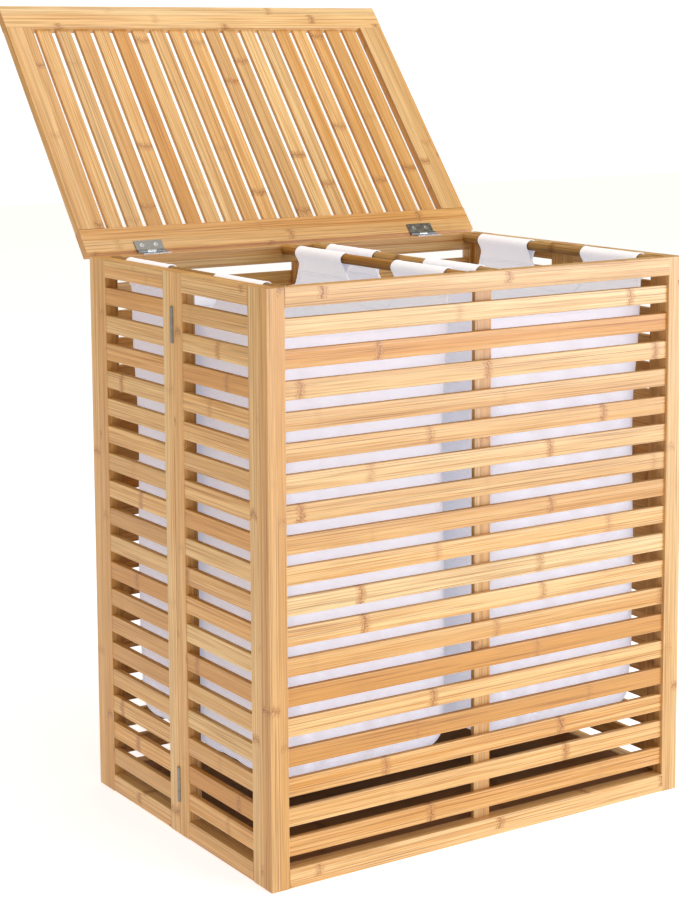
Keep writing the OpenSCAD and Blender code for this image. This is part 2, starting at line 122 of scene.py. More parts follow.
def bamboo(name, pale, dark, mark, rough):
    """Lacquered bamboo. Each glued strip has its own tone, with long streaks and
    fine fibres along it and a broken brown chevron where the cane had a node."""
    material, tree, shader = new_material(name)
    grain = add(tree, "Attribute", out="Vector", attribute_name="grain")
    strip, tone, end, eased = (add(tree, "Attribute", out="Fac", attribute_name=layer)
                               for layer in ("strip", "tone", "end", "eased"))
    noises = []
    for stretch, detail in GRAIN_NOISES:
        place = add(tree, "VectorMath", {0: grain, 1: stretch}, operation="MULTIPLY")
        noises.append(add(tree, "TexNoise", {"Vector": place, "Scale": 1.0,
                                             "Detail": detail, "Roughness": 0.6}))
    streak, bundle, thin, fibre, ragged, wander = noises
    cane = add(tree, "Math", {0: strip}, operation="FLOOR")
    own = add(tree, "TexWhiteNoise", {"W": cane}, noise_dimensions="1D")
    second = add(tree, "TexWhiteNoise", {
        "W": add(tree, "Math", {0: cane, 1: 0.37}, operation="ADD")},
        noise_dimensions="1D")

    # A cane has a node about every quarter of a metre. It shows as a brown band
    # about 14 mm long, bent like a shallow V and full of fine wandering lines.
    along = add(tree, "SeparateXYZ", {0: grain})
    count = add(tree, "Math", {0: along, 1: 1 / NODE_PITCH, 2: add(
        tree, "Math", {0: own, 1: 7.3}, operation="MULTIPLY")},
        operation="MULTIPLY_ADD")
    offset = add(tree, "Math", {0: add(tree, "Math", {0: count}, operation="FRACT"),
                                1: NODE_PITCH, 2: -NODE_PITCH / 2},
                 operation="MULTIPLY_ADD")
    across = add(tree, "Math", {0: add(tree, "Math", {0: add(
        tree, "Math", {0: strip}, operation="FRACT"), 1: 0.5}, operation="SUBTRACT")},
        operation="ABSOLUTE")
    bent = add(tree, "Math", {0: across, 1: 0.005, 2: add(
        tree, "Math", {0: ragged, 1: 0.010, 2: -0.006}, operation="MULTIPLY_ADD")},
        operation="MULTIPLY_ADD")
    gap = add(tree, "Math", {0: add(tree, "Math", {0: offset, 1: bent},
                                    operation="ADD")}, operation="ABSOLUTE")
    seen = add(tree, "TexWhiteNoise", {"Vector": add(tree, "CombineXYZ", {
        0: add(tree, "Math", {0: count}, operation="FLOOR"), 1: cane})},
        noise_dimensions="2D")
    strength = add(tree, "MapRange", {"Value": seen, "From Min": 0.10, "From Max": 0.80,
                                      "To Min": 0.12, "To Max": 1.0},
                   interpolation_type="SMOOTHSTEP")
    near = add(tree, "MapRange", {"Value": gap, "From Min": 0.0020, "From Max": 0.0085,
                                  "To Min": 1.0, "To Max": 0.0},
               interpolation_type="SMOOTHSTEP")
    band = add(tree, "Math", {0: near, 1: strength}, operation="MULTIPLY")
    rim = add(tree, "MapRange", {"Value": gap, "From Min": 0.0003, "From Max": 0.0012,
                                 "To Min": 0.7, "To Max": 0.0},
              interpolation_type="SMOOTHSTEP")
    line = add(tree, "Math", {0: rim, 1: strength}, operation="MULTIPLY")

    # The wandering lines are the contours of a noise, seven to its whole range
    contour = add(tree, "Math", {0: add(tree, "Math", {0: wander, 1: 7.0, 2: 0.5},
                                        operation="MULTIPLY_ADD"), 1: 0.5},
                  operation="PINGPONG")
    squiggle = add(tree, "MapRange", {"Value": contour, "From Min": 0.06,
                                      "From Max": 0.24, "To Min": 1.0, "To Max": 0.0},
                   interpolation_type="SMOOTHSTEP")
    marked = add(tree, "Math", {0: add(tree, "Math", {0: band, 1: squiggle},
                                       operation="MULTIPLY"),
                                1: line}, operation="MAXIMUM")

    shade = add(tree, "Math", {0: add(tree, "Math", {0: streak, 1: 1.2, 2: -0.6},
                                      operation="MULTIPLY_ADD"),
                               1: add(tree, "Math", {0: own, 1: 0.35, 2: add(
                                   tree, "Math", {0: tone, 1: 0.75},
                                   operation="MULTIPLY")}, operation="MULTIPLY_ADD")},
                operation="ADD")
    shade = add(tree, "MapRange", {"Value": shade, "From Min": -0.05, "From Max": 1.1},
                interpolation_type="SMOOTHSTEP")
    body = add(tree, "Mix", {0: shade, 6: linear(pale), 7: linear(dark)}, out=2,
               data_type="RGBA")
    for value, low, high, most, colour in ((bundle, 0.48, 0.60, 0.70, dark),
                                           (thin, 0.54, 0.66, 0.52, mark)):
        share = add(tree, "MapRange", {"Value": value, "From Min": low,
                                       "From Max": high, "To Max": most},
                    interpolation_type="SMOOTHSTEP")
        body = add(tree, "Mix", {0: share, 6: body, 7: linear(colour)}, out=2,
                   data_type="RGBA")
    hue = add(tree, "MapRange", {"Value": second, "To Min": 0.495, "To Max": 0.5045})
    depth = add(tree, "MapRange", {"Value": second, "To Min": 1.10, "To Max": 0.97})
    light = add(tree, "MapRange", {"Value": fibre, "From Min": 0.25, "From Max": 0.75,
                                   "To Min": 0.80, "To Max": 1.14})
    body = add(tree, "HueSaturation", {"Hue": hue, "Saturation": depth,
                                       "Value": light, "Color": body})

    # A cut end shows the fibres as dots, and an eased edge is painted paler, a painted highlight along the edge
    pores = add(tree, "TexVoronoi", {"Vector": grain, "Scale": 900.0}, feature="F1")
    dots = add(tree, "MapRange", {"Value": pores, "From Min": 0.15, "From Max": 0.5,
                                  "To Min": 0.6, "To Max": 0.1},
               interpolation_type="SMOOTHSTEP")
    cut = add(tree, "Mix", {0: dots, 6: linear(dark), 7: linear(mark)}, out=2,
              data_type="RGBA")
    for value, most, colour in ((band, 0.60, linear(dark)), (marked, 0.95, linear(mark)),
                                (eased, 0.25, linear("F6DDB4")), (end, 0.80, cut)):
        share = add(tree, "Math", {0: value, 1: most}, operation="MULTIPLY")
        body = add(tree, "Mix", {0: share, 6: body, 7: colour}, out=2,
                   data_type="RGBA")
    tree.links.new(body, shader.inputs["Base Color"])
    tree.links.new(add(tree, "MapRange", {"Value": fibre, "From Min": 0.25,
                                          "From Max": 0.75, "To Min": rough + 0.08,
                                          "To Max": rough - 0.06}),
                   shader.inputs["Roughness"])
    shader.inputs["IOR"].default_value = 1.48
    height = add(tree, "Math", {0: line, 1: 0.8, 2: fibre}, operation="MULTIPLY_ADD")
    bump = add(tree, "Bump", {"Height": height, "Strength": 0.35, "Distance": 0.0003})
    tree.links.new(bump, shader.inputs["Normal"])
    return material


def merged_copy(node, name):
    """A CAD node's mesh as a new piece: its loose triangles are joined at their
    corners, and those that lie in one plane become one face."""
    work = bmesh.new()
    work.from_mesh(frame["nodes"][node].data)
    bmesh.ops.remove_doubles(work, verts=work.verts, dist=WELD)
    bmesh.ops.dissolve_limit(work, angle_limit=FLAT, verts=work.verts,
                             edges=work.edges)
    mesh = bpy.data.meshes.new(name)
    work.to_mesh(mesh)
    work.free()
    mesh.shade_smooth()
    mesh.set_sharp_from_angle(angle=CREASE)
    piece = bpy.data.objects.new(name, mesh)
    bpy.context.scene.collection.objects.link(piece)
    return piece


def read(items, key, width):
    """One property of all of a mesh's items, as rows of an array."""
    values = np.empty(len(items) * width, np.float32)
    items.foreach_get(key, values)
    return values.reshape(-1, width).astype(float)


def islands(mesh):
    """Numbers the separate solids of a mesh. Each corner takes the lowest number
    among its neighbours, again and again, until none changes."""
    ends = read(mesh.edges, "vertices", 2).astype(int)
    label = np.arange(len(mesh.vertices))
    while True:
        low = label.copy()
        np.minimum.at(low, ends[:, 0], label[ends[:, 1]])
        np.minimum.at(low, ends[:, 1], label[ends[:, 0]])
        low = low[low]
        if np.array_equal(low, label):
            return np.unique(label, return_inverse=True)[1]
        label = low


def store(mesh, name, kind, domain, values):
    """Writes values to a mesh as a named attribute."""
    layer = mesh.attributes.new(name, kind, domain)
    key = "vector" if kind == "FLOAT_VECTOR" else "value"
    layer.data.foreach_set(key, np.asarray(values, np.float32).ravel())


def lay_grain(mesh, points, normals, strip_width):
    """Gives every corner its place in its own bar: metres along, across and
    through it, where the longest side is along and the shortest is through. The
    place along is moved by a random length, so no two bars show the same cane."""
    bar = islands(mesh)
    count = bar.max() + 1
    low = np.full((count, 3), np.inf)
    high = np.full((count, 3), -np.inf)
    np.minimum.at(low, bar, points)
    np.maximum.at(high, bar, points)
    order = np.argsort(low[0] - high[0])
    place = (points - low[bar])[:, order]
    width = (high - low)[bar][:, order[1]]
    if strip_width:
        strip = place[:, 1] / strip_width + random.random(count)[bar]
    else:
        strip = ONE_STRIP[0] + ONE_STRIP[1] * place[:, 1] / width
    strip += random.integers(0, CANES, count)[bar] * CANE_STEP
    place += (random.random((count, 3)) * CANE_SHIFT)[bar]
    store(mesh, "grain", "FLOAT_VECTOR", "POINT", place)
    store(mesh, "strip", "FLOAT", "POINT", strip)
    store(mesh, "tone", "FLOAT", "POINT", random.random(count)[bar])
    store(mesh, "end", "FLOAT", "FACE", np.abs(normals[:, order[0]]) > SQUARE)
    store(mesh, "eased", "FLOAT", "FACE", np.abs(normals).max(1) < SQUARE)


def finish(piece, node, material):
    """Puts a piece in place of its CAD node, on that node's body, with the given material."""
    piece.data.materials.clear()
    piece.data.materials.append(material)
    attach(piece, body_of[node])
    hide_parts(node)


def soften(piece):
    """Lets the flat faces rule the shading, so that an eased edge looks round."""
    even = piece.modifiers.new("even", "WEIGHTED_NORMAL")
    even.keep_sharp = True
    even.weight = 100


def bar_piece(node, material, strip_width):
    """One node of bars, with its grain laid as the lid lies when it is shut."""
    piece = merged_copy(node, node + ".bamboo")
    points = read(piece.data.vertices, "co", 3)
    normals = read(piece.data.polygons, "normal", 3)
    if body_of[node] == "lid":
        points = turned(points, lid_turn)
        normals = turned(normals, lid_turn, np.zeros(3))
    lay_grain(piece.data, points, normals, strip_width)
    soften(piece)
    finish(piece, node, material)


bamboo_bar = bamboo("lacquered_bamboo_bar", "EFC78F", "D29B5B", "8C4A16", 0.36)
bamboo_slat = bamboo("lacquered_bamboo_slat", "F0C78C", "CF9552", "8F4C16", 0.36)

ENDS = ("front", "back")
SIDES = ("left", "right")
frame_bars = [f"{end}_{part}" for end in ENDS for part in
              ("left_stile", "right_stile", "top_rail", "bottom_rail", "mullion")]
frame_bars += [f"{side}_{end}_{part}" for side in SIDES for end in ENDS for part in
               ("corner_stile", "fold_stile", "top_rail", "bottom_rail")]
slat_rows = [f"{end}_slats" for end in ENDS]
slat_rows += [f"{side}_{end}_slats" for side in SIDES for end in ENDS]
for node in frame_bars:
    bar_piece(node, bamboo_bar, FRAME_STRIP)
for node in slat_rows:
    bar_piece(node, bamboo_slat, None)

# ---- The lid ----
# Wide bamboo rails over the full width with the stiles butted between them, and
# eighteen thin slats let in to both. It hangs open on its two hinges.

LID_STRIP = 0.0150              # width of a glued strip in the lid's frame, m

for node in ("lid_left_stile", "lid_right_stile", "lid_front_rail", "lid_rear_rail"):
    bar_piece(node, bamboo_bar, LID_STRIP)
bar_piece("lid_slats", bamboo_slat, None)

# ---- The base board and its cleats ----
# A thin pressed-bamboo board that lies loose on two cleats glued inside the front and back bottom rails. It lies
# mostly in shade, and its colour is painted darker and browner than the bars, a painted shade for the inside of
# the hamper.

BOARD_STRIP = 0.0220
BOARD_EASE = 0.0003             # rounding of the board's edges, m

# These darker, browner colours are painted shade for the inside of the hamper
shade_darkened_board_wood = bamboo("shade_darkened_bamboo_board", "A8743F", "7F5029", "553115", 0.55)
bar_piece("base_board", shade_darkened_board_wood, BOARD_STRIP)
bar_piece("base_cleats", bamboo_bar, FRAME_STRIP)
rim = bpy.data.objects["base_board.bamboo"].modifiers.new("rim", "BEVEL")
rim.width = BOARD_EASE
rim.segments = 2

# ---- The hinges ----
# Stamped and polished steel butt hinges with rolled knuckles, zinc plated. The lid's leaves have a dark base
# colour, a painted reflection of the dark surroundings their polished faces mirror. Their corners are broken where
# the press cut them.

HINGE_EASE = 0.00025            # rounding of a stamped edge, m
CORNER_TURN = math.radians(35)


def plated_steel(name, colour, rough):
    """Zinc-plated steel: fine rolling lines about 0.4 mm apart along the leaf,
    and soft clouds where the plating has dulled."""
    material, tree, shader = new_material(name)
    place = add(tree, "TexCoord", out="Object")
    drawn = add(tree, "Mapping", {"Vector": place, "Scale": (60.0, 2400.0, 2400.0)})
    lines = add(tree, "TexNoise", {"Vector": drawn, "Scale": 1.0, "Detail": 2.0})
    clouds = add(tree, "TexNoise", {"Vector": place, "Scale": 220.0, "Detail": 3.0})
    dull = add(tree, "Mix", {0: clouds, 6: linear(colour), 7: linear("8C8B88")}, out=2,
               data_type="RGBA")
    tree.links.new(dull, shader.inputs["Base Color"])
    spread = add(tree, "MapRange", {"Value": clouds, "From Min": 0.3, "From Max": 0.7,
                                    "To Min": rough - 0.07, "To Max": rough + 0.12})
    tree.links.new(spread, shader.inputs["Roughness"])
    shader.inputs["Metallic"].default_value = 1.0
    bump = add(tree, "Bump", {"Height": lines, "Strength": 0.15, "Distance": 0.0001})
    tree.links.new(bump, shader.inputs["Normal"])
    return material


bright_steel = plated_steel("bright_zinc_steel", "D5D6D9", 0.26)
# A darker steel for the corner and fold hinges' leaves: painted shade for the narrow gaps of the joints they sit
# in
slot_shade_steel = plated_steel("slot_shade_zinc_steel", "8F8D8A", 0.34)
# A dark base colour for the lid's leaves, a painted reflection of dark surroundings
dark_reflection_steel = plated_steel("painted_reflection_zinc_steel", "4E4B49", 0.30)
pin_steel = plated_steel("drawn_pin_steel", "BDBDC0", 0.32)


def metal_piece(node, material):
    """One node of stamped steel, with its sharp edges rounded."""
    piece = merged_copy(node, node + ".steel")
    ease = piece.modifiers.new("ease", "BEVEL")
    ease.width = HINGE_EASE
    ease.segments = 2
    ease.limit_method = "ANGLE"
    ease.angle_limit = CORNER_TURN
    soften(piece)
    finish(piece, node, material)


metal_piece("lid_hinge_lid_leaves", dark_reflection_steel)
metal_piece("lid_hinge_frame_leaves", bright_steel)
metal_piece("lid_hinge_pins", pin_steel)
# The corner and fold hinges' leaves take the darker steel, painted shade in the joints' gaps
metal_piece("corner_hinge_leaves", slot_shade_steel)
metal_piece("corner_hinge_pins", pin_steel)
metal_piece("fold_hinge_leaves", slot_shade_steel)
metal_piece("fold_hinge_pins", pin_steel)
metal_piece("side_hinge_screws", pin_steel)

# ---- The lid hinges' screws ----
# Countersunk steel wood screws with a slightly domed head and a cross recess,
# driven flush into each leaf.

HEAD_R = 0.0026
SHANK_R = 0.0014
HEAD_DEEP = 0.0012              # height of the countersink, m
DOME = 0.00012
RECESS_DEEP = 0.0008
RECESS_WIDE = 0.00042           # half the width of one arm of the cross
RECESS_LONG = 0.0016            # reach of one arm
RECESS_SLOPE = (0.0002, 0.0003) # width of the slope at an arm's side and at its end
RIM_DEEP = 0.0001               # height of the head's upright rim
HEAD_RINGS = (0, .12, .24, .36, .48, .60, .72, .84, .94, 1.0, 1.0)  # shares of HEAD_R
SCREW_SIDES = 48


def surface(name, grids, wrap_u=False, wrap_v=False, flip=False, layers=None):
    """A mesh over one or more grids of points. Neighbours in a grid are joined by
    four-cornered faces, a wrapped way joins its end to its start, and corners
    that fall together at a pole become one."""
    grids = np.asarray(grids, float)
    nu, nv = grids.shape[-3:-1]
    grids = grids.reshape(-1, nu, nv, 3)
    a, b = np.meshgrid(np.arange(nu if wrap_u else nu - 1),
                       np.arange(nv if wrap_v else nv - 1), indexing="ij")
    a_next, b_next = (a + 1) % nu, (b + 1) % nv
    quads = np.stack([a * nv + b, a_next * nv + b, a_next * nv + b_next,
                      a * nv + b_next], -1).reshape(-1, 4)
    if flip:
        quads = quads[:, ::-1]
    quads = (quads[None] + (np.arange(len(grids)) * nu * nv)[:, None, None])
    quads = quads.reshape(-1, 4)
    mesh = bpy.data.meshes.new(name)
    mesh.vertices.add(grids.size // 3)
    mesh.vertices.foreach_set("co", grids.astype(np.float32).ravel())
    mesh.loops.add(quads.size)
    mesh.loops.foreach_set("vertex_index", quads.astype(np.int32).ravel())
    mesh.polygons.add(len(quads))
    mesh.polygons.foreach_set("loop_start",
                              np.arange(0, quads.size, 4, dtype=np.int32))
    mesh.update(calc_edges=True)
    for key, values in (layers or {}).items():
        kind = "FLOAT_VECTOR" if np.size(values) == grids.size else "FLOAT"
        store(mesh, key, kind, "POINT", values)
    work = bmesh.new()
    work.from_mesh(mesh)
    bmesh.ops.remove_doubles(work, verts=work.verts, dist=1e-7)
    work.to_mesh(mesh)
    work.free()
    mesh.shade_smooth()
    piece = bpy.data.objects.new(name, mesh)
    bpy.context.scene.collection.objects.link(piece)
    return piece


def screw_grid(length):
    """A screw as rings: the radius and height of each ring follow the head's
    dome, its rim, the countersink and the shank, and the head's rings sink by
    the recess depth where they lie inside either arm of the cross."""
    radius = np.append(np.array(HEAD_RINGS) * HEAD_R, [SHANK_R, SHANK_R, 0.0])
    rim = len(HEAD_RINGS) - 1
    top = np.arange(len(radius)) < rim - 1
    height = np.where(top, DOME * (1 - (radius / HEAD_R) ** 2), 0.0)
    height[rim] = -RIM_DEEP
    height[rim + 1:] = [-HEAD_DEEP, -length, -length]
    angle = np.arange(SCREW_SIDES) * math.tau / SCREW_SIDES
    x = np.cos(angle)[:, None] * radius
    y = np.sin(angle)[:, None] * radius
    across, reach = np.minimum(abs(x), abs(y)), np.maximum(abs(x), abs(y))
    inside = np.clip((RECESS_WIDE - across) / RECESS_SLOPE[0] + 0.5, 0, 1)
    inside *= np.clip((RECESS_LONG - reach) / RECESS_SLOPE[1] + 0.5, 0, 1) * top
    z = height - RECESS_DEEP * inside
    return np.stack([x, y, z], -1)


def screw_piece(node, head_up):
    """Screws at the middles of the node's own solids, each turned by a random
    angle about its axis, with its head up or down as the lid lies shut."""
    source = merged_copy(node, "source")
    points = read(source.data.vertices, "co", 3)
    if body_of[node] == "lid":
        points = turned(points, lid_turn)
    which = islands(source.data)
    bpy.data.objects.remove(source)
    grids = []
    for i in range(which.max() + 1):
        own = points[which == i]
        low, high = own.min(0), own.max(0)
        grid = screw_grid(high[2] - low[2])
        a = random.random() * math.tau
        spin = np.array([[math.cos(a), -math.sin(a), 0],
                         [math.sin(a), math.cos(a), 0], [0, 0, 1]])
        grid = grid @ spin.T
        if not head_up:
            grid = grid * (1, -1, -1)
        middle = (low + high) / 2
        middle[2] = high[2] if head_up else low[2]
        grids.append(grid + middle)
    grids = np.array(grids)
    if body_of[node] == "lid":
        grids = turned(grids, -lid_turn)
    piece = surface(node + ".steel", grids, wrap_u=True, flip=True)
    piece.data.set_sharp_from_angle(angle=CORNER_TURN)
    finish(piece, node, bright_steel)


screw_piece("lid_leaf_screws", False)
screw_piece("frame_leaf_screws", True)

# ---- The rods ----
# Turned bamboo dowels that carry the liners. They drop into notches cut in the
# front and back top rails, and their ends are slightly rounded.

ROD_END = 0.0006                # rounding of a rod's end, m
ROD_STRIP = 0.02                # width of one tone of bamboo round a rod, m
ROD_WASTE = 0.004               # share of its radius that a rod loses at its thinnest
ROD_SIDES, ROD_RINGS, END_RINGS = 40, 24, 5

rod_wood = bamboo("turned_bamboo_rod", "D2A468", "A9793F", "7A4620", 0.46)


def rod_piece(node):
    """A turned rod: rings along Y whose radius closes over a quarter circle at
    each end, and narrows here and there by a few hundredths of a millimetre."""
    low, high = (np.array(corner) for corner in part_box(node))
    centre = (low + high) / 2
    radius = (high[0] - low[0]) / 2
    quarter = np.linspace(0, math.pi / 2, END_RINGS)
    near = low[1] + ROD_END * (1 - np.sin(quarter))
    middle = np.linspace(low[1], high[1], ROD_RINGS + 2)[1:-1]
    y = np.concatenate([[low[1]], near[::-1], middle, low[1] + high[1] - near,
                        [high[1]]])
    r = np.concatenate([[0], radius - ROD_END * (1 - np.cos(quarter))[::-1],
                        np.full(ROD_RINGS, radius),
                        radius - ROD_END * (1 - np.cos(quarter)), [0]])
    r = np.minimum(r, radius) * (1 - ROD_WASTE * np.sin(y * 23 + centre[0] * 40) ** 2)
    angle = np.arange(ROD_SIDES) * math.tau / ROD_SIDES
    grid = np.stack([centre[0] + np.cos(angle)[:, None] * r,
                     np.broadcast_to(y, (ROD_SIDES, len(y))),
                     centre[2] + np.sin(angle)[:, None] * r], -1)
    girth = np.broadcast_to((np.abs(angle - math.pi) * radius)[:, None],
                            (ROD_SIDES, len(y)))
    shift = random.random() * CANE_SHIFT[0]
    grain = np.stack([grid[..., 1] + shift, girth, grid[..., 2]], -1)
    layers = {"grain": grain, "strip": girth / ROD_STRIP + int(shift * 50),
              "tone": np.full((ROD_SIDES, len(y)), random.random())}
    piece = surface(node + ".bamboo", grid, wrap_u=True, flip=True, layers=layers)
    finish(piece, node, rod_wood)


ROD_NODES = ("left_outer_rod", "left_inner_rod", "right_inner_rod", "right_outer_rod")
for node in ROD_NODES:
    rod_piece(node)

# ---- The liners: the bags ----
# Two loose bags sewn from white woven polyester. Each hangs from two rods by its
# side walls; the front and back walls end lower, in a turned hem. Empty, the
# walls fall in soft upright folds and the corners of the bottom sag.

CLOTH_T = 0.0011
HEM_DROP = 0.0395               # hem of the front and back walls, below a rod
SEAM_DROP = 0.0150              # seam that closes a sleeve, below a rod
SLEEVE_LEN = 0.100
FORWARD = 0.004                 # the bags hang this far forward on the rods, m
FLARE = 0.034                   # reach of the curve from a sleeve to the cut
BOTTOM_R = 0.026                # rounding between a wall and the bottom
TOP_CORNER_R = 0.007            # radius of an upright corner at the hem
LOW_CORNER_R = 0.026            # and near the bottom
HEM_WIDE = 0.013
HEM_SLACK = 0.003               # sag of the front and back hems at their middle
FOLD_DEEP = 0.0022              # depth of the upright folds, m
CREASE_DEEP = 0.0012            # and of the creases, which are strongest at the foot
BULGE = 0.0028                  # outward bulge of the wall, greatest 150 mm up
DIP = 0.0045                    # how far the front and back hems stand in
PUSH_RANGE = (-0.008, 0.0062)   # keeps the cloth between its neighbours
SAG = 0.004                     # unevenness of the bottom
PAINTED_GLOW = 0.45                     # painted light: a camera-only emission that stands in for light reaching the bag through the slats
WEAVE = 0.0012                  # thread spacing, drawn coarse enough to show


def smooth(x):
    """A smooth step from 0 to 1."""
    x = np.clip(x, 0, 1)
    return x * x * (3 - 2 * x)


def woven_cloth(name, colour, shade, painted_glow):
    """White plain-weave polyester: threads cross one over one, with thicker and thinner threads at random. Matt,
    with a soft sheen at grazing angles. The cloth also shines with painted light, an emission that only the camera
    sees and that lights nothing else."""
    material, tree, shader = new_material(name)
    place = add(tree, "Attribute", out="Vector", attribute_name="weave")
    phase = add(tree, "VectorMath", {0: place, 1: (math.tau / WEAVE,) * 3},
                operation="MULTIPLY")
    waves = add(tree, "VectorMath", {0: phase}, operation="SINE")
    over = add(tree, "Math", {0: add(tree, "SeparateXYZ", {0: waves}, out="X"),
                              1: add(tree, "SeparateXYZ", {0: waves}, out="Y")},
               operation="MULTIPLY")
    slubs = []
    for stretch in ((35.0, 700.0, 1.0), (700.0, 35.0, 1.0)):
        drawn = add(tree, "VectorMath", {0: place, 1: stretch}, operation="MULTIPLY")
        slubs.append(add(tree, "TexNoise", {"Vector": drawn, "Scale": 1.0,
                                            "Detail": 2.0}))
    slub = add(tree, "Math", {0: slubs[0], 1: slubs[1]}, operation="ADD")
    height = add(tree, "Math", {0: over, 1: 0.35, 2: slub}, operation="MULTIPLY_ADD")
    # The weave's low parts take the shade colour, a painted shade in the hollows between the threads; thicker
    # threads stay paler, a tone that differs at random
    slub_tone_and_hollow_shade = add(tree, "MapRange", {"Value": height, "From Min": 0.5, "From Max": 1.5})
    body = add(tree, "Mix", {0: slub_tone_and_hollow_shade, 6: linear(shade), 7: linear(colour)}, out=2,
               data_type="RGBA")
    tree.links.new(body, shader.inputs["Base Color"])
    shader.inputs["Roughness"].default_value = 0.88
    shader.inputs["Sheen Weight"].default_value = 0.25
    shader.inputs["Sheen Roughness"].default_value = 0.4
    shader.inputs["Specular IOR Level"].default_value = 0.3
    # The painted light is bluish white, to offset the warm light that the bamboo throws back on the cloth
    shader.inputs["Emission Color"].default_value = linear("E8EBFF")
    lit = add(tree, "Math", {0: add(tree, "LightPath", out="Is Camera Ray"), 1: painted_glow},
              operation="MULTIPLY")
    tree.links.new(lit, shader.inputs["Emission Strength"])
    bump = add(tree, "Bump", {"Height": height, "Strength": 0.4, "Distance": 0.0003})
    tree.links.new(bump, shader.inputs["Normal"])
    return material


white_cloth_painted_glow = woven_cloth("white_woven_polyester_painted_light", "FBFAFC", "E6E5EB", PAINTED_GLOW)

X_STEPS, Y_STEPS, CORNER_STEPS = 44, 60, 8
GIRTH_RING = 40                 # ring of the wall along which the weave is measured
WALL_STEPS, ROUND_STEPS, BOTTOM_STEPS = 92, 8, 14


